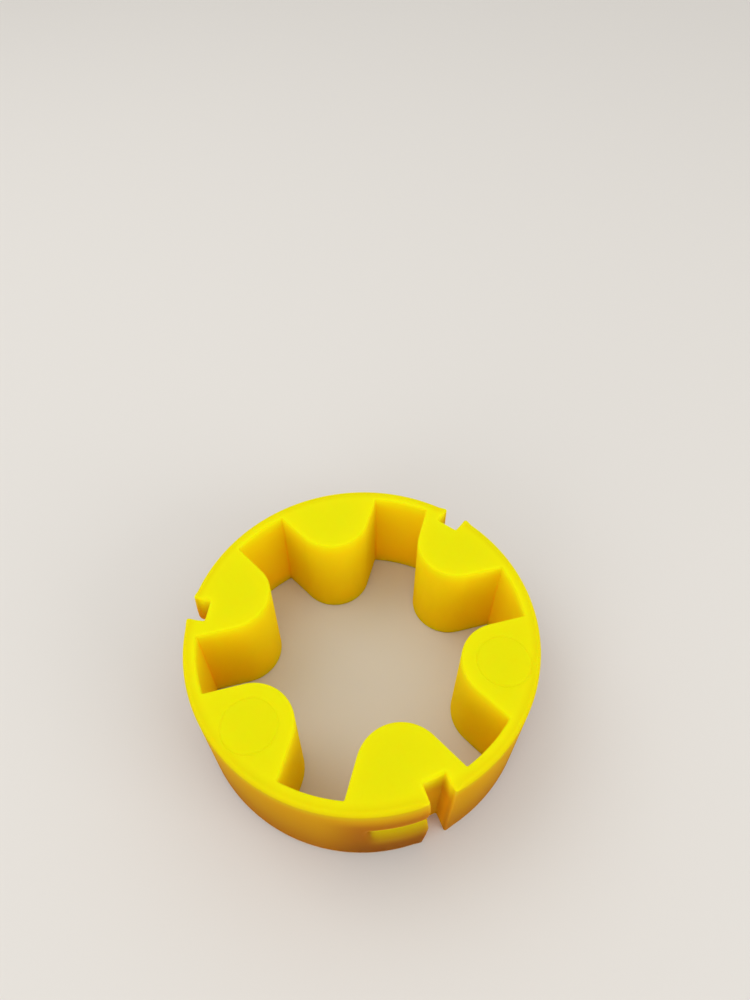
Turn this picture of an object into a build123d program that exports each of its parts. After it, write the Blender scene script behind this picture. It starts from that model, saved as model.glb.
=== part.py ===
from build123d import *
from build123d.topology import SkipClean
import math
import os

# Flexible element of a six-jaw coupling: one cast urethane ring with six inward lobes.
# Millimetres, +Z up. The origin is on the ring's axis, at the bottom face.

# Ring
outer_diameter = 114.3
height = 40.0
rim_radius = 1.5            # rounding of the two outer rims
edge_radius = 0.8           # rounding of the bore's edges, top and bottom

# Lobes and the pockets between them, which take the hubs' jaws
lobe_count = 6
first_lobe_angle = 90.0     # one lobe points along +Y
pocket_width = 19.3         # the two sides of a pocket are parallel
pocket_floor_radius = 53.0
lobe_centre_radius = 45.9   # centre of the round end of a lobe

# Notches down the outer wall, one on every other lobe
notched_lobes = (1, 3, 5)   # counted clockwise from the first lobe, seen from above
notch_width = 7.2
notch_floor_radius = 51.2
notch_offset_angle = 8.8    # from the lobe's centre line, anticlockwise seen from above

# Locking groove that runs from each notch, clockwise, round the outer wall
groove_end_angle = -13.5    # from the lobe's centre line
groove_top = 25.8
groove_bottom = 14.2
groove_depth = 3.0
groove_floor_height = 2.0

# Round mould marks on top of two of the lobes that have no notch
marked_lobes = (2, 4)
mark_radius = 8.4
mark_depth = 0.25

outer_radius = outer_diameter / 2
lobe_pitch = 360 / lobe_count
lobe_tip_radius = lobe_centre_radius * math.sin(math.radians(lobe_pitch / 2)) - pocket_width / 2
pocket_half_angle = math.degrees(math.asin(pocket_width / 2 / pocket_floor_radius))
overcut = 5.0               # how far a cutting solid runs past the surface that it cuts
tolerance = 0.05            # two lengths that differ by less than this are the same
ON_FLOOR = (Align.CENTER, Align.CENTER, Align.MIN)


def polar(radius, angle):
    """The point at this radius and angle about the ring's axis."""
    turn = math.radians(angle)
    return Vector(radius * math.cos(turn), radius * math.sin(turn))


def lobe_angle(number):
    """Direction of a lobe's centre line, counted clockwise from the first lobe."""
    return first_lobe_angle - number * lobe_pitch


def bore_outline():
    """The closed outline of the bore: lobe ends, pocket sides and pocket floors."""
    edges = []
    for number in range(lobe_count):
        lobe = lobe_angle(number)
        pocket = lobe + lobe_pitch / 2
        next_lobe = lobe + lobe_pitch
        centre = polar(lobe_centre_radius, lobe)
        next_centre = polar(lobe_centre_radius, next_lobe)
        side_start = centre + polar(lobe_tip_radius, pocket + 90)
        side_end = next_centre + polar(lobe_tip_radius, pocket - 90)
        floor_start = polar(pocket_floor_radius, pocket - pocket_half_angle)
        floor_end = polar(pocket_floor_radius, pocket + pocket_half_angle)
        edges.append(CenterArc(centre, lobe_tip_radius, pocket + 90, 180 - lobe_pitch))
        edges.append(Line(side_start, floor_start))
        edges.append(CenterArc((0, 0), pocket_floor_radius, pocket - pocket_half_angle,
                               2 * pocket_half_angle))
        edges.append(Line(floor_end, side_end))
    return make_face(edges)


def ring():
    """The ring with its bore, rounded along the edges of both faces."""
    blank = extrude(Circle(outer_radius), height)
    blank = fillet(blank.edges().filter_by(GeomType.CIRCLE), rim_radius)
    blank -= extrude(bore_outline(), height)
    return fillet(blank.edges().filter_by(on_bore_edge), edge_radius)


def on_bore_edge(edge):
    """True for an edge of the bore that lies in the top or the bottom face."""
    box = edge.bounding_box()
    flat = box.max.Z - box.min.Z < tolerance
    at_face = min(abs(box.min.Z), abs(box.min.Z - height)) < tolerance
    start = edge.position_at(0)
    inside = math.hypot(start.X, start.Y) < pocket_floor_radius + tolerance
    return flat and at_face and inside


def notch_cutter(lobe):
    """A straight-sided slot, cut from the outer wall down the whole height."""
    depth = outer_radius - notch_floor_radius + overcut
    block = Box(depth, notch_width, height + 2 * overcut, align=(Align.MIN, Align.CENTER, Align.MIN))
    return Rot(0, 0, lobe + notch_offset_angle) * Pos(notch_floor_radius, 0, -overcut) * block


def groove_cutter(lobe):
    """A shallow groove with sloping sides, swept round the axis from its end to the notch."""
    floor_radius = outer_radius - groove_depth
    middle = (groove_top + groove_bottom) / 2
    slope = groove_depth / ((groove_top - groove_bottom - groove_floor_height) / 2)
    flare = overcut / slope
    section = make_face(Polyline(
        (floor_radius, middle - groove_floor_height / 2),
        (outer_radius + overcut, groove_bottom - flare),
        (outer_radius + overcut, groove_top + flare),
        (floor_radius, middle + groove_floor_height / 2),
        close=True,
    ))
    arc = notch_offset_angle - groove_end_angle
    swept = revolve(Plane.XZ * section, Axis.Z, revolution_arc=arc)
    return Rot(0, 0, lobe + groove_end_angle) * swept


def mark_cutter(lobe):
    """The shallow round recess left by a marking plug in the mould."""
    disc = Cylinder(mark_radius, mark_depth + overcut, align=ON_FLOOR)
    centre = polar(lobe_centre_radius, lobe)
    return Pos(centre.X, centre.Y, height - mark_depth) * disc


def banded(body):
    """The same solid, its walls divided at the grooves' upper and lower edges. Each face of the outer
    wall is then a whole patch of the cylinder, with no groove cut into the middle of it."""
    levels = (0, groove_bottom, groove_top, height)
    bands = []
    for base, top in zip(levels, levels[1:]):
        slab = Cylinder(outer_radius + overcut, top - base, align=ON_FLOOR)
        bands.append(body & Pos(0, 0, base) * slab)
    with SkipClean():
        return bands[0].fuse(*bands[1:])


def flexible_element():
    """The whole moulding."""
    body = ring()
    for number in notched_lobes:
        body -= groove_cutter(lobe_angle(number))
        body -= notch_cutter(lobe_angle(number))
    for number in marked_lobes:
        body -= mark_cutter(lobe_angle(number))
    return banded(body)


os.makedirs("parts", exist_ok=True)
element = flexible_element()
element.label = "flexible_element"
export_step(element, "parts/flexible_element.step")
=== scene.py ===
import math

import bpy
import numpy as np
from mathutils import Matrix, Vector
from mathutils.geometry import delaunay_2d_cdt


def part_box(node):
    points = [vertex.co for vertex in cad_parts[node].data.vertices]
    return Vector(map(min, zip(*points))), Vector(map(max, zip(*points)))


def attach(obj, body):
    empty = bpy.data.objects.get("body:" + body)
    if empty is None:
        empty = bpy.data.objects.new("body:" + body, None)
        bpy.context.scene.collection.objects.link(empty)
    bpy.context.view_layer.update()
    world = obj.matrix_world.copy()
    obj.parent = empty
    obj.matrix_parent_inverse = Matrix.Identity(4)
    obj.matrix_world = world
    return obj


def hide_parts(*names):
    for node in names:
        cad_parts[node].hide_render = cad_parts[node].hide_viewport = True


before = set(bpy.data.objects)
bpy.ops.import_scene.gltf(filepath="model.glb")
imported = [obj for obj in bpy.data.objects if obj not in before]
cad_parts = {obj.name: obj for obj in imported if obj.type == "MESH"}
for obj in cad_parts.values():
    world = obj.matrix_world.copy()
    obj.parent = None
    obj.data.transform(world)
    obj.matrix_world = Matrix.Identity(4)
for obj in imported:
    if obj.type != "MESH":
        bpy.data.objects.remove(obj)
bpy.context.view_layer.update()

# The flexible element of a jaw coupling, in metres, in the CAD model's frame: a cast urethane ring
# with six inward lobes, three notches down the outer wall and a locking groove from each notch.

MM = 0.001
NODE = "flexible_element"
low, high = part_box(NODE)
height = high.z - low.z
outer_radius = (high.y - low.y) / 2

# Bore
lobe_count = 6
pocket_width = 19.3 * MM
pocket_floor_radius = 53.0 * MM
lobe_centre_radius = 45.9 * MM
first_pocket_angle = 0.0
lobe_pitch = 2 * math.pi / lobe_count
lobe_tip_radius = lobe_centre_radius * math.sin(lobe_pitch / 2) - pocket_width / 2
pocket_corner_radius = 0.5 * MM
bore_edge_radius = 0.8 * MM

# Outer wall
notch_count = 3
first_notch_angle = math.radians(38.8)
notch_pitch = 2 * math.pi / notch_count
notch_width = 7.2 * MM
notch_floor_radius = 51.2 * MM
notch_mouth_radius = 0.7 * MM
notch_corner_radius = 0.5 * MM
rim_radius = 1.5 * MM                    # rounding of the top and bottom edges round the wall,
mouth_edge_radius = 0.4 * MM             # at a notch's mouth
notch_edge_radius = 1.1 * MM             # and inside the notch
rim_fade = 3.0 * MM                      # the rounding changes over this length from the mouth
notch_colour_depth = 0.5                 # share of a notch's depth over which its painted shade comes in, and over which the painted light and shade round a groove go out
wall_colour_depth = 0.25                 # and over which the colours round a groove go out

# Locking groove. Heights are above the bottom face.
groove_top = 25.8 * MM
groove_deepest = 23.5 * MM
groove_bottom = 13.0 * MM
groove_depth = 3.0 * MM
groove_length = math.radians(22.3)       # clockwise from the notch's middle
groove_end_fade = 2.5 * MM               # the groove runs out over this length
ledge_low = 8.0 * MM                     # the painted light on the ledge fades in from here to here, and is gone again here, leaving painted shade under the lip as its shadow, after fading over this height and over this length before the groove's end
ledge_high = 19.0 * MM                   # to here,
ledge_top = 21.8 * MM                    # and is gone again here, just under the lip
ledge_top_fade = 1.5 * MM                # after fading over this height
ledge_end_fade = 4.5 * MM                # and over this length before the groove's end
shade_top = 36.0 * MM                    # the wall round a groove gets painted shade, a deeper amber, below this by degrees over this height and over this length past the groove's end
shade_fade = 8.0 * MM                    # by degrees over this height
shade_end_fade = 15.0 * MM               # and over this length past the groove's end

# The side that a notch shares with its groove is not quite straight. These are heights above the
# bottom face and how far the side stands back at each, in millimetres.
side_heights = (0.0, 7.0, 13.0, 21.0, 25.0, 27.0, 29.0, 33.0, 37.0, 40.0)
side_setbacks = (0.3, -0.6, -1.0, -0.4, 0.9, 0.0, -0.5, -0.4, 0.1, 0.45)
side_start = 0.4                         # in notch widths from its middle: the set-back starts,
side_full = 0.6                          # begins to fade
side_end = 1.2                           # and is gone

# Mould marks on the top face
mark_angles = (math.radians(-30.0), math.radians(210.0))
mark_radius = 8.4 * MM
mark_line_width = 0.45 * MM
mark_line_depth = 0.16 * MM
mark_disc_depth = 0.05 * MM

# Mesh density
arc_step = 0.65 * MM                     # along the lobes' ends and the outer wall
flank_step = 0.9 * MM                    # along straight sides and floors
corner_steps = 5                         # round a pocket's or a notch's corner
edge_steps = 7                           # up the rounding of a top or bottom edge
wall_step = 0.72 * MM                    # up the walls
cap_step = 1.25 * MM                     # across the top and bottom faces
cap_border = 0.2 * MM                    # a row of points this far inside each face's outlines
cap_clearance = 0.55 * cap_step          # the other points keep this far from that row
mark_ring_points = 120                   # round a mould mark
mark_ring_offsets = (-1.6, -0.8, -0.4, 0, 0.4, 0.8, 1.6)      # from its line, in line widths
mark_clearance = 0.8 * mark_line_width   # the other points keep this far from those rings
triangulation_scale = 1000.0             # faces are triangulated in millimetres
merge_distance = 1e-6                    # in the same unit
distance_batch = 500                     # points whose distances are worked out at one time

# Colours of the urethane, as linear red, green and blue. The walls' colours and the faces' outer edge
# carry painted light and shade.
face_deep = (0.755, 0.73, 0.004)         # the top and bottom faces, clouded between two yellows
face_pale = (0.785, 0.765, 0.005)
face_rim = (0.66, 0.595, 0.004)          # and a little deeper towards the outer edge, painted shade that tones down the light on the outer rounding
bore_low = (0.90, 0.55, 0.004)           # the bore's wall, whose amber is painted shade, from the bottom face to the top face and, with painted light, close to the top edge
bore_high = (0.90, 0.70, 0.004)          # to the top face
bore_edge = (0.86, 0.77, 0.004)          # and close to the top edge
# the roundings of its edges, painted shade that tones down the light they catch
bore_rounding = (0.75, 0.695, 0.004)
outside_low = (0.265, 0.085, 0.004)      # the outer wall, in the same order, with deeper painted shade
outside_high = (0.525, 0.25, 0.004)
outside_edge = (0.50, 0.34, 0.004)
outside_rounding = (0.61, 0.52, 0.004)
shaded_low = (0.16, 0.048, 0.004)        # painted shade on the outer wall round a groove
shaded_high = (0.37, 0.12, 0.004)
# painted light on a groove's ledge
ledge_painted_light = (0.36, 0.20, 0.004)
# painted shade in a notch, deeper towards the bottom, and on its roundings
notch_low = (0.66, 0.28, 0.004)
notch_high = (0.84, 0.74, 0.004)
notch_rounding = (0.77, 0.71, 0.004)
edge_band = 6.0 * MM                     # how far below the top face the painted light at the top edge starts and the lighter top of the notch's painted shade
notch_band = 13.0 * MM                   # and the notch's upper colour
rounding_tilt = (0.1, 0.6)               # a rounding's painted shade comes in between these normals' Z, the top face's colour between these and the bottom face's between these
top_tilt = (0.6, 1.0)                    # the top face's between these
under_tilt = (-0.9, -1.0)                # and the bottom face's between these

# Finish of the urethane
urethane_finish = {
    "IOR": 1.5,
    "Specular IOR Level": 0.01,
    "Specular Tint": (1.0, 0.88, 0.30, 1),
    "Subsurface Weight": 1.0,
    "Subsurface Radius": (1.0, 0.6, 0.1),
    "Subsurface Scale": 0.008,
}
lowest_roughness = 0.60                  # it varies with the clouds in the colour
highest_roughness = 0.72
cloud_scale = 28.0                       # features per metre
cloud_detail = 4.0
grain_scale = 900.0
grain_detail = 3.0
grain_strength = 0.15
grain_height = 0.1 * MM

# Camera, at the viewing angle of the reference
camera_azimuth = math.radians(-15.17)
camera_elevation = math.radians(48.89)
camera_roll = math.radians(0.41)
camera_from_top_centre = Vector((-24.55, -104.86, 193.94)) * MM
focal_length = 24.23                     # in millimetres, like the sensor's width
sensor_width = 36.0
camera_shift = -0.0182
clip_start = 0.01
clip_end = 20.0

# Stage
floor_reach = 4.0
floor_colour = (0.72, 0.70, 0.67, 1)
floor_roughness = 0.9
world_colour = (1.0, 0.98, 0.95, 1)
world_strength = 0.82
lamps = (                                # name, place, size in metres and power in watts
    ("key", (-0.45, 0.35, 0.9), 0.7, 1.9),
    ("left", (-0.9, -0.9, 0.5), 0.8, 3.7),
    ("right", (0.9, -0.9, 0.5), 0.8, 4.6),
)


def steps(length, size):
    """How many equal steps of about this size a length takes."""
    return max(2, int(math.ceil(length / size)))


def smooth(value):
    """A smooth step from 0 to 1 as value goes from 0 to 1."""
    value = np.clip(value, 0, 1)
    return value * value * (3 - 2 * value)


def arc(centre, radius, start, end, count, facing, edge_radius):
    """Rows of x, y, normal x, normal y and edge rounding along an arc, without its last point.
    facing is 1 where the material is inside the arc and -1 where it is outside. The edge rounding is
    one value or one for each row."""
    angle = np.linspace(start, end, count + 1)[:-1]
    normal = np.stack([np.cos(angle), np.sin(angle)], 1)
    point = np.array(centre) + radius * normal
    return np.column_stack([point, facing * normal, np.full(count, edge_radius)])


def line(start, end, normal, count, edge_radius):
    """The same rows along a straight stretch, without its last point."""
    share = np.linspace(0, 1, count + 1)[:-1, None]
    point = np.array(start) * (1 - share) + np.array(end) * share
    return np.column_stack([point, np.tile(normal, (count, 1)), np.full(count, edge_radius)])


def mirrored(half):
    """A sector made of a half and its mirror image across the x axis. The half's last point, on the
    axis, is there once. The image of its first point is left out: it starts the next sector."""
    other = half[1:][::-1].copy()
    other[:, [1, 3]] *= -1
    return np.concatenate([half, other[1:]])


def turned(rows, angle):
    """The rows, turned about the ring's axis."""
    turn = np.array([[math.cos(angle), math.sin(angle)], [-math.sin(angle), math.cos(angle)]])
    out = rows.copy()
    out[:, :2] = rows[:, :2] @ turn
    out[:, 2:4] = rows[:, 2:4] @ turn
    return out


def closing_point(point, normal, edge_radius):
    """One row, for the end of a half sector."""
    return np.array([[*point, *normal, edge_radius]])


def bore_loop():
    """The bore's outline, anticlockwise: lobe ends, pocket sides, pocket corners and pocket floors."""
    half_pitch = lobe_pitch / 2
    half_width = pocket_width / 2
    lobe = (lobe_centre_radius * math.cos(half_pitch), -lobe_centre_radius * math.sin(half_pitch))
    inset = half_width - pocket_corner_radius
    reach = math.sqrt((pocket_floor_radius - pocket_corner_radius) ** 2 - inset ** 2)
    turn = math.atan2(inset, reach)
    half = np.concatenate([
        arc(lobe, lobe_tip_radius, math.pi - half_pitch, math.pi / 2,
            steps(lobe_tip_radius * (math.pi / 2 - half_pitch), arc_step), 1, bore_edge_radius),
        line((lobe[0], -half_width), (reach, -half_width), (0, 1),
             steps(reach - lobe[0], flank_step), bore_edge_radius),
        arc((reach, -inset), pocket_corner_radius, -math.pi / 2, -turn, corner_steps, -1,
            bore_edge_radius),
        arc((0, 0), pocket_floor_radius, -turn, 0, steps(pocket_floor_radius * turn, flank_step), -1,
            bore_edge_radius),
        closing_point((pocket_floor_radius, 0), (-1, 0), bore_edge_radius),
    ])
    sector = mirrored(half)
    return np.concatenate([
        turned(sector, first_pocket_angle + number * lobe_pitch) for number in range(lobe_count)
    ])


def faded(distance, away):
    """The rounding of an edge at these distances from a notch's mouth, given its value away from it."""
    return mouth_edge_radius + (away - mouth_edge_radius) * smooth(distance / rim_fade)


def outer_loop():
    """The outer wall's outline, anticlockwise, with its notches."""
    half_width = notch_width / 2
    spread = half_width + notch_mouth_radius
    reach = math.sqrt((outer_radius - notch_mouth_radius) ** 2 - spread ** 2)
    turn = math.atan2(spread, reach)
    inset = half_width - notch_corner_radius
    floor = notch_floor_radius + notch_corner_radius
    wall_length = outer_radius * (notch_pitch / 2 - turn)
    wall_steps = steps(wall_length, arc_step)
    to_mouth = np.linspace(wall_length, 0, wall_steps + 1)[:-1]
    side_steps = steps(reach - floor, flank_step)
    from_mouth = np.linspace(0, reach - floor, side_steps + 1)[:-1]
    half = np.concatenate([
        arc((0, 0), outer_radius, -notch_pitch / 2, -turn, wall_steps, 1,
            faded(to_mouth, rim_radius)),
        arc((reach, -spread), notch_mouth_radius, -turn, math.pi / 2, corner_steps, 1,
            mouth_edge_radius),
        line((reach, -half_width), (floor, -half_width), (0, 1), side_steps,
             faded(from_mouth, notch_edge_radius)),
        arc((floor, -inset), notch_corner_radius, -math.pi / 2, -math.pi, corner_steps, -1,
            notch_edge_radius),
        line((notch_floor_radius, -inset), (notch_floor_radius, 0), (1, 0),
             steps(inset, flank_step), notch_edge_radius),
        closing_point((notch_floor_radius, 0), (1, 0), notch_edge_radius),
    ])
    sector = mirrored(half)
    return np.concatenate([
        turned(sector, first_notch_angle + number * notch_pitch) for number in range(notch_count)
    ])


def wall_rows(loop):
    """The wall's points, row by row from the bottom face to the top face, rounded at both edges."""
    outline, normal, radius = loop[:, :2], loop[:, 2:4], loop[:, 4]
    top = height - radius
    bottom_rounding, top_rounding = [], []
    for angle in np.linspace(0, math.pi / 2, edge_steps + 1):
        point = outline - normal * ((1 - np.cos(angle)) * radius)[:, None]
        from_face = (1 - np.sin(angle)) * radius
        bottom_rounding.insert(0, np.column_stack([point, from_face]))
        top_rounding.append(np.column_stack([point, height - from_face]))
    count = steps(height, wall_step)
    upright = [np.column_stack([outline, radius + (top - radius) * (number / count)])
               for number in range(1, count)]
    return np.array(bottom_rounding + upright + top_rounding)


def behind_notch(points):
    """Each point's angle from the middle of the notch that it lies clockwise of."""
    angle = np.arctan2(points[..., 1], points[..., 0]) - first_notch_angle
    return (-angle) % notch_pitch


def groove_cut(points):
    """How deep the locking grooves are at these points of the outer wall: a steep upper side under a
    lip, and a long lower one that makes a ledge."""
    behind = behind_notch(points)
    along = smooth((groove_length - behind) * outer_radius / groove_end_fade)
    z = points[..., 2]
    upper = np.clip((groove_top - z) / (groove_top - groove_deepest), 0, 1)
    lower = np.clip((z - groove_bottom) / (groove_deepest - groove_bottom), 0, 1)
    return groove_depth * np.minimum(upper, lower ** 2) * along


def ledge_share(points):
    """1 on the groove's lower side, where the colour carries painted light, fading out below it and at
    its end.
    """
    z = points[..., 2]
    along = smooth((groove_length - behind_notch(points)) * outer_radius / ledge_end_fade)
    rise = smooth((z - ledge_low) / (ledge_high - ledge_low))
    return along * rise * smooth((ledge_top - z) / ledge_top_fade)


def shade_share(points):
    """1 on the wall above and below a groove, where the colour carries painted shade."""
    past_end = (behind_notch(points) - groove_length) * outer_radius
    return smooth(1 - past_end / shade_end_fade) * smooth((shade_top - points[..., 2]) / shade_fade)


def set_back(rows, share):
    """The rows, with the side that each notch shares with its groove set back. The share is 1 at the
    notch's mouth and 0 at its floor."""
    behind = behind_notch(rows)
    width = notch_width / outer_radius
    fade = smooth((width * side_end - behind) / (width * (side_end - side_full)))
    near = (behind > width * side_start) * fade
    distance = np.interp(rows[..., 2], np.multiply(side_heights, MM), np.multiply(side_setbacks, MM))
    turn = distance / outer_radius * near * smooth(share)
    out = rows.copy()
    out[..., 0] = rows[..., 0] * np.cos(turn) + rows[..., 1] * np.sin(turn)
    out[..., 1] = rows[..., 1] * np.cos(turn) - rows[..., 0] * np.sin(turn)
    return out


def outer_wall(loop):
    """The outer wall's rows, with the grooves pressed in, less and less towards a notch's floor. With
    them, how much each point belongs to the outer wall and to a notch, which get painted shade, to a
    groove's ledge, which gets painted light, and to the wall round a groove, which gets painted shade."""
    rows = wall_rows(loop)
    radius = np.hypot(rows[..., 0], rows[..., 1])
    share = np.clip((radius - notch_floor_radius) / (outer_radius - notch_floor_radius), 0, 1)
    on_wall = smooth(1 - (1 - share) / wall_colour_depth)
    shares = {
        # the outer wall and a notch get painted shade, a ledge painted light, the wall round a groove
        # painted shade
        "outer_wall": np.ones(share.shape),
        "in_notch": smooth((1 - share) / notch_colour_depth),
        "on_ledge": ledge_share(rows) * on_wall,
        "shaded": shade_share(rows) * on_wall,
    }
    rows[..., :2] *= (1 - share * groove_cut(rows) / radius)[..., None]
    return set_back(rows, share), shares


def inside(points, loop):
    """True for each point inside a closed loop."""
    found = np.zeros(len(points), bool)
    ahead = np.roll(loop, -1, axis=0)
    for (x0, y0), (x1, y1) in zip(loop, ahead):
        if y0 == y1:
            continue
        crosses = (y0 > points[:, 1]) != (y1 > points[:, 1])
        found ^= crosses & (points[:, 0] < (x1 - x0) * (points[:, 1] - y0) / (y1 - y0) + x0)
    return found


def nearest(points, others):
    """Each point's distance to the nearest of the others."""
    out = np.empty(len(points))
    for start in range(0, len(points), distance_batch):
        part = slice(start, start + distance_batch)
        out[part] = np.min(np.linalg.norm(points[part, None] - others[None], axis=2), axis=1)
    return out


def mark_centre(angle):
    """The middle of a mould mark."""
    return lobe_centre_radius * np.array([math.cos(angle), math.sin(angle)])


def mark_rings():
    """Points round the mould marks' edges."""
    rings = []
    around = np.linspace(0, 2 * math.pi, mark_ring_points, endpoint=False)
    circle = np.stack([np.cos(around), np.sin(around)], 1)
    for angle in mark_angles:
        for offset in mark_ring_offsets:
            rings.append(mark_centre(angle) + circle * (mark_radius + offset * mark_line_width))
    return np.concatenate(rings)


def mark_relief(points):
    """How far the mould marks sink below the top face."""
    sink = np.zeros(len(points))
    for angle in mark_angles:
        away = np.linalg.norm(points - mark_centre(angle), axis=1) - mark_radius
        line_share = smooth(1 - np.abs(away) / mark_line_width)
        disc_share = smooth(0.5 - away / mark_line_width)
        sink += mark_line_depth * line_share + mark_disc_depth * disc_share
    return sink


def cap_grid(outer_border, bore_border, rings):
    """Points in a triangular pattern between the two borders, clear of them and of the mould marks'
    rings."""
    reach = np.arange(-outer_radius, outer_radius, cap_step)
    x, y = np.meshgrid(reach, reach * math.sqrt(3) / 2)
    x = x + (np.arange(len(reach)) % 2)[:, None] * cap_step / 2
    grid = np.stack([x.ravel(), y.ravel()], 1)
    grid = grid[inside(grid, outer_border) & ~inside(grid, bore_border)]
    grid = grid[nearest(grid, np.concatenate([outer_border, bore_border])) > cap_clearance]
    if len(rings):
        grid = grid[nearest(grid, rings) > mark_clearance]
    return grid


def cap(outer_rim, bore_rim, outer_normals, bore_normals, marked):
    """The points added inside one face and its triangles. The triangles count the outer rim's points
    first, then the bore rim's, then the added ones."""
    outer_border = outer_rim - outer_normals * cap_border
    bore_border = bore_rim - bore_normals * cap_border
    rings = mark_rings() if marked else np.zeros((0, 2))
    grid = cap_grid(outer_border, bore_border, rings)
    added = np.concatenate([outer_border, bore_border, rings, grid])
    points = np.concatenate([outer_rim, bore_rim, added])
    edges = []
    start = 0
    for count in (len(outer_rim), len(bore_rim)) * 2:
        edges += [(start + i, start + (i + 1) % count) for i in range(count)]
        start += count
    vertices, _, faces, origins, _, _ = delaunay_2d_cdt(
        [Vector(point * triangulation_scale) for point in points], edges, [], 0, merge_distance)
    source = [origin[0] for origin in origins]
    place = np.array([list(vertex) for vertex in vertices]) / triangulation_scale
    middle = np.array([place[list(face)].mean(axis=0) for face in faces])
    keep = inside(middle, outer_rim) & ~inside(middle, bore_rim)
    triangles = [[source[i] for i in face] for face, kept in zip(faces, keep) if kept]
    return added, triangles


def numbered(wall, first):
    """The numbers of a wall's points as vertices of the mesh, in the wall's own rows."""
    rows, columns = wall.shape[:2]
    return np.arange(first, first + rows * columns).reshape(rows, columns)


def wall_faces(numbers):
    """The quads between a wall's rows of numbered points. They face away from the ring's axis."""
    ahead = np.roll(numbers, -1, axis=1)
    quads = np.stack([numbers[:-1], ahead[:-1], ahead[1:], numbers[1:]], axis=2)
    return quads.reshape(-1, 4).tolist()


def element_mesh():
    """The whole moulding as one closed mesh. Its vertices carry how far each belongs to the outer
    wall and its parts, for the material's painted light and shade."""
    outline, bore_outline = outer_loop(), bore_loop()
    outer, shares = outer_wall(outline)
    bore = wall_rows(bore_outline)
    outer_numbers = numbered(outer, 0)
    bore_numbers = numbered(bore, outer_numbers.size)
    vertices = outer.reshape(-1, 3).tolist() + bore.reshape(-1, 3).tolist()
    faces = wall_faces(outer_numbers) + [quad[::-1] for quad in wall_faces(bore_numbers)]
    for top, row in ((True, -1), (False, 0)):
        added, triangles = cap(outer[row, :, :2], bore[row, :, :2], outline[:, 2:4],
                               bore_outline[:, 2:4], top)
        numbers = outer_numbers[row].tolist() + bore_numbers[row].tolist()
        numbers += range(len(vertices), len(vertices) + len(added))
        z = height - mark_relief(added) if top else np.zeros(len(added))
        vertices += np.column_stack([added, z]).tolist()
        for triangle in triangles:
            corners = [numbers[i] for i in triangle]
            faces.append(corners if top else corners[::-1])
    mesh = bpy.data.meshes.new("flexible_element_moulding")
    mesh.from_pydata([(x, y, z + low.z) for x, y, z in vertices], [], faces)
    mesh.shade_smooth()
    for name, share in shares.items():
        values = np.zeros(len(vertices))
        values[:share.size] = share.ravel()
        mesh.attributes.new(name, "FLOAT", "POINT").data.foreach_set("value", values)
    return mesh


def attribute(nodes, name):
    """A value that the mesh's vertices carry."""
    node = nodes.new("ShaderNodeAttribute")
    node.attribute_name = name
    return node.outputs["Fac"]


def colour_mix(nodes, links, factor, first, second):
    """A colour that goes from the first to the second as the factor goes from 0 to 1. Each of the two
    is a plain colour or another node's output."""
    mix = nodes.new("ShaderNodeMix")
    mix.data_type = "RGBA"
    links.new(factor, mix.inputs["Factor"])
    for name, colour in (("A", first), ("B", second)):
        if isinstance(colour, tuple):
            mix.inputs[name].default_value = (*colour, 1)
        else:
            links.new(colour, mix.inputs[name])
    return mix.outputs["Result"]


def mapped(nodes, links, value, start, end, smooth_step=True):
    """0 where the value is at the start, 1 where it is at the end."""
    node = nodes.new("ShaderNodeMapRange")
    node.interpolation_type = "SMOOTHSTEP" if smooth_step else "LINEAR"
    node.inputs["From Min"].default_value = start
    node.inputs["From Max"].default_value = end
    links.new(value, node.inputs["Value"])
    return node.outputs["Result"]


def noise(nodes, links, vector, scale, detail):
    """A noise pattern fixed to the object."""
    node = nodes.new("ShaderNodeTexNoise")
    node.inputs["Scale"].default_value = scale
    node.inputs["Detail"].default_value = detail
    links.new(vector, node.inputs["Vector"])
    return node.outputs["Fac"]


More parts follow.
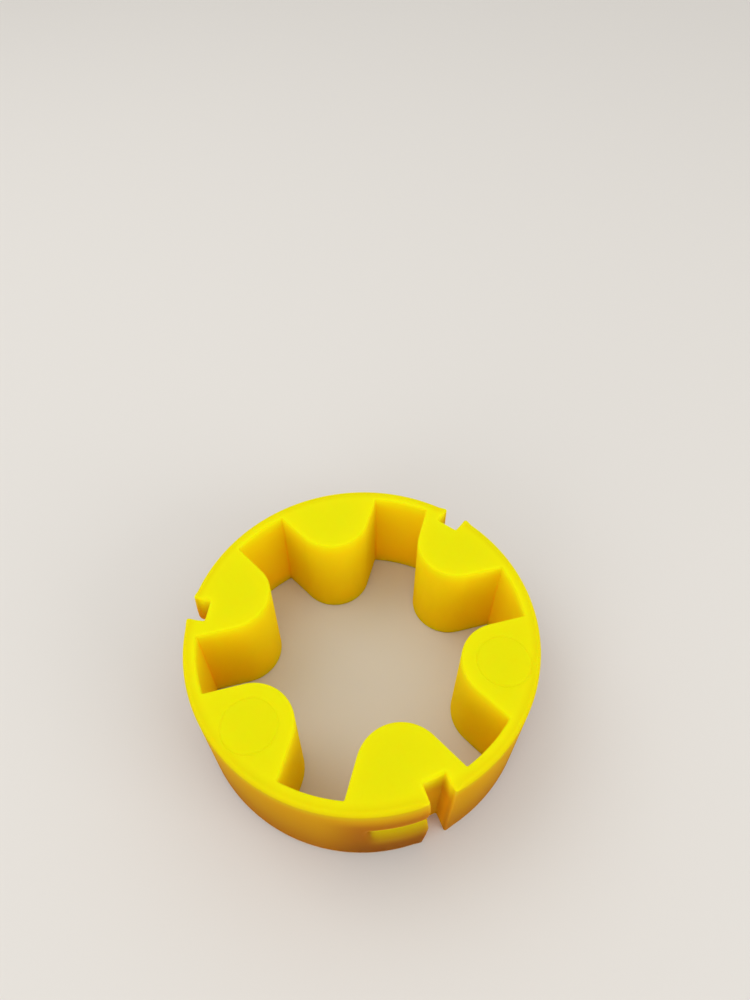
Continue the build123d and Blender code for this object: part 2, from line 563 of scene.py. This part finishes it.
def urethane():
    """Yellow cast urethane: satin and slightly translucent. It is lemon on its two faces. Its upright
    walls carry painted shade, an amber that deepens away from the top edge and more so round the
    outside, with painted light near the top edge and on the grooves' ledges."""
    material = bpy.data.materials.new("urethane_yellow")
    material.use_nodes = True
    nodes, links = material.node_tree.nodes, material.node_tree.links
    shader = nodes["Principled BSDF"]
    for name, value in urethane_finish.items():
        shader.inputs[name].default_value = value

    place = nodes.new("ShaderNodeTexCoord")
    at = nodes.new("ShaderNodeSeparateXYZ")
    links.new(place.outputs["Object"], at.inputs[0])
    facing = nodes.new("ShaderNodeSeparateXYZ")
    links.new(place.outputs["Normal"], facing.inputs[0])
    flat = nodes.new("ShaderNodeCombineXYZ")
    links.new(at.outputs["X"], flat.inputs["X"])
    links.new(at.outputs["Y"], flat.inputs["Y"])
    radius = nodes.new("ShaderNodeVectorMath")
    radius.operation = "LENGTH"
    links.new(flat.outputs[0], radius.inputs[0])

    cloud = noise(nodes, links, place.outputs["Object"], cloud_scale, cloud_detail)
    grain = noise(nodes, links, place.outputs["Object"], grain_scale, grain_detail)
    outside = attribute(nodes, "outer_wall")
    in_notch = attribute(nodes, "in_notch")
    near_rim = mapped(nodes, links, radius.outputs["Value"], pocket_floor_radius, outer_radius)
    # height masks for the walls' painted shade downwards, painted light near the top edge and the
    # notch's painted shade
    rising = mapped(nodes, links, at.outputs["Z"], 0.0, height, smooth_step=False)
    at_top = mapped(nodes, links, at.outputs["Z"], height - edge_band, height)
    notch_top = mapped(nodes, links, at.outputs["Z"], height - notch_band, height)
    on_rounding = mapped(nodes, links, facing.outputs["Z"], *rounding_tilt)
    on_top = mapped(nodes, links, facing.outputs["Z"], *top_tilt)
    underneath = mapped(nodes, links, facing.outputs["Z"], *under_tilt)

    face = colour_mix(nodes, links, cloud, face_deep, face_pale)
    # painted shade towards the outer edge
    face = colour_mix(nodes, links, near_rim, face, face_rim)
    # the walls' amber is painted shade, deeper down the wall and round the outside
    low_wall = colour_mix(nodes, links, outside, bore_low, outside_low)
    high_wall = colour_mix(nodes, links, outside, bore_high, outside_high)
    # painted light close to the top edge
    edge = colour_mix(nodes, links, outside, bore_edge, outside_edge)
    # painted shade round a groove
    shaded = colour_mix(nodes, links, rising, shaded_low, shaded_high)
    # painted shade in a notch
    notch = colour_mix(nodes, links, notch_top, notch_low, notch_high)
    # painted shade on the roundings
    rounding = colour_mix(nodes, links, outside, bore_rounding, outside_rounding)
    rounding = colour_mix(nodes, links, in_notch, rounding, notch_rounding)
    colour = colour_mix(nodes, links, rising, low_wall, high_wall)
    colour = colour_mix(nodes, links, at_top, colour, edge)
    colour = colour_mix(nodes, links, attribute(nodes, "shaded"), colour, shaded)
    # painted light on a groove's ledge, and a painted shadow under its lip where it fades out
    colour = colour_mix(nodes, links, attribute(nodes, "on_ledge"), colour, ledge_painted_light)
    colour = colour_mix(nodes, links, in_notch, colour, notch)
    colour = colour_mix(nodes, links, on_rounding, colour, rounding)
    colour = colour_mix(nodes, links, on_top, colour, face)
    colour = colour_mix(nodes, links, underneath, colour, face)
    links.new(colour, shader.inputs["Base Color"])

    roughness = nodes.new("ShaderNodeMapRange")
    roughness.inputs["To Min"].default_value = lowest_roughness
    roughness.inputs["To Max"].default_value = highest_roughness
    links.new(cloud, roughness.inputs["Value"])
    links.new(roughness.outputs["Result"], shader.inputs["Roughness"])
    bump = nodes.new("ShaderNodeBump")
    bump.inputs["Strength"].default_value = grain_strength
    bump.inputs["Distance"].default_value = grain_height
    links.new(grain, bump.inputs["Height"])
    links.new(bump.outputs["Normal"], shader.inputs["Normal"])
    return material


def add_camera():
    """The camera, which becomes the scene's own."""
    data = bpy.data.cameras.new("camera")
    data.lens = focal_length
    data.shift_y = camera_shift
    data.sensor_width = sensor_width
    data.clip_start = clip_start
    data.clip_end = clip_end
    camera = bpy.data.objects.new("camera", data)
    bpy.context.scene.collection.objects.link(camera)
    camera.matrix_world = (
        Matrix.Translation(Vector((0, 0, high.z)) + camera_from_top_centre)
        @ Matrix.Rotation(camera_azimuth, 4, "Z")
        @ Matrix.Rotation(math.pi / 2 - camera_elevation, 4, "X")
        @ Matrix.Rotation(camera_roll, 4, "Z")
    )
    bpy.context.scene.camera = camera


def add_stage():
    """A plain pale floor under soft light."""
    mesh = bpy.data.meshes.new("floor")
    corners = [(-floor_reach, -floor_reach, low.z), (floor_reach, -floor_reach, low.z),
               (floor_reach, floor_reach, low.z), (-floor_reach, floor_reach, low.z)]
    mesh.from_pydata(corners, [], [(0, 1, 2, 3)])
    floor = bpy.data.objects.new("floor", mesh)
    bpy.context.scene.collection.objects.link(floor)
    paint = bpy.data.materials.new("floor_paint")
    paint.use_nodes = True
    shader = paint.node_tree.nodes["Principled BSDF"]
    shader.inputs["Base Color"].default_value = floor_colour
    shader.inputs["Roughness"].default_value = floor_roughness
    mesh.materials.append(paint)

    world = bpy.data.worlds.new("world")
    world.use_nodes = True
    background = world.node_tree.nodes["Background"]
    background.inputs["Color"].default_value = world_colour
    background.inputs["Strength"].default_value = world_strength
    bpy.context.scene.world = world
    for lamp in lamps:
        add_area_light(*lamp)


def add_area_light(name, place, size, power):
    """A soft square light that faces the object."""
    data = bpy.data.lights.new(name, "AREA")
    data.shape = "SQUARE"
    data.size = size
    data.energy = power
    lamp = bpy.data.objects.new(name, data)
    bpy.context.scene.collection.objects.link(lamp)
    lamp.location = place
    aim = Vector((0, 0, height / 2)) - Vector(place)
    lamp.rotation_mode = "QUATERNION"
    lamp.rotation_quaternion = aim.to_track_quat("-Z", "Y")


add_camera()
add_stage()

element = bpy.data.objects.new("flexible_element_moulding", element_mesh())
bpy.context.scene.collection.objects.link(element)
element.data.materials.append(urethane())
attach(element, "root")
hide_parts(NODE)

bpy.context.scene.view_settings.view_transform = "Standard"
